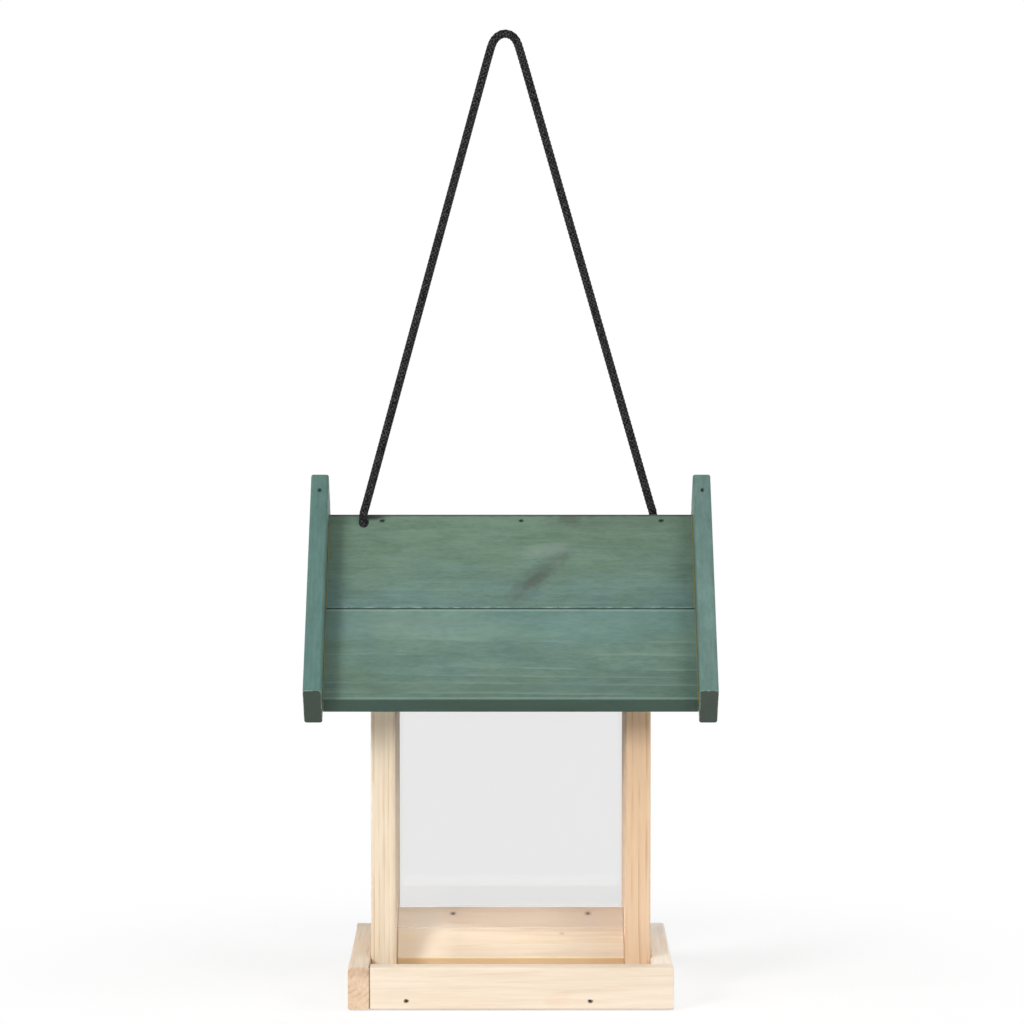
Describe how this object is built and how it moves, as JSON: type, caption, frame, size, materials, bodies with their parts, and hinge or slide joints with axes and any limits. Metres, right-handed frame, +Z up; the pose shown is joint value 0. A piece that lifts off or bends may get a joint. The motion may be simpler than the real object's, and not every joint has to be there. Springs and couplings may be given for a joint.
{
  "type": "bird feeder",
  "caption": "Hanging wooden bird feeder with clear panes over an open seed tray and a stained two-slope roof that slides up its cord for filling",
  "frame": {"origin": "middle of the underside of the seed tray", "axes": "+Z up, +X along the ridge to the viewer's right, -Y towards the front slope that laps over the back one"},
  "size_m": [0.227, 0.2234, 0.5451],
  "materials": {
    "tray_wood": "bare planed softwood",
    "tray_side_wood": "bare planed softwood, warmer",
    "left_plank_wood": "bare planed softwood, yellowish",
    "right_plank_wood": "bare planed softwood, orange",
    "clear_pane": "clear polished acrylic",
    "ramp_wood": "bare planed softwood with pinkish heartwood",
    "nail_steel": "plain steel wire",
    "roof_stain": "matt grey-green stain, grain showing",
    "bargeboard_stain": "matt grey-green stain, slightly bluer",
    "cord": "black braided polypropylene"
  },
  "bodies": {
    "house": {"tray_floor": "tray_wood", "tray_front_board": "tray_wood", "tray_back_board": "tray_wood", "tray_right_board": "tray_side_wood", "tray_left_board": "tray_side_wood", "left_side_plank": "left_plank_wood", "right_side_plank": "right_plank_wood", "front_pane": "clear_pane", "back_pane": "clear_pane", "front_seed_ramp": "ramp_wood", "back_seed_ramp": "ramp_wood", "pane_stop_pins": "nail_steel", "tray_nails": "nail_steel", "plank_nails": "nail_steel", "ramp_peak_nails": "nail_steel", "ramp_end_nails": "nail_steel", "cord_loop": "cord", "left_cord_tail": "cord", "right_cord_tail": "cord", "cord_knots": "cord"},
    "roof": {"front_upper_roof_board": "roof_stain", "front_lower_roof_board": "roof_stain", "back_upper_roof_board": "roof_stain", "back_lower_roof_board": "roof_stain", "front_left_bargeboard": "bargeboard_stain", "front_right_bargeboard": "bargeboard_stain", "back_left_bargeboard": "bargeboard_stain", "back_right_bargeboard": "bargeboard_stain", "ridge_nails": "nail_steel", "bargeboard_peak_nails": "nail_steel", "bargeboard_side_nails": "nail_steel"}
  },
  "joints": [
    {"name": "roof_lift", "type": "slide", "parent": "house", "child": "roof", "axis": [0, 0, 1], "range_m": [0, 0.1], "deforming": ["cord_loop", "left_cord_tail", "right_cord_tail"]}
  ]
}
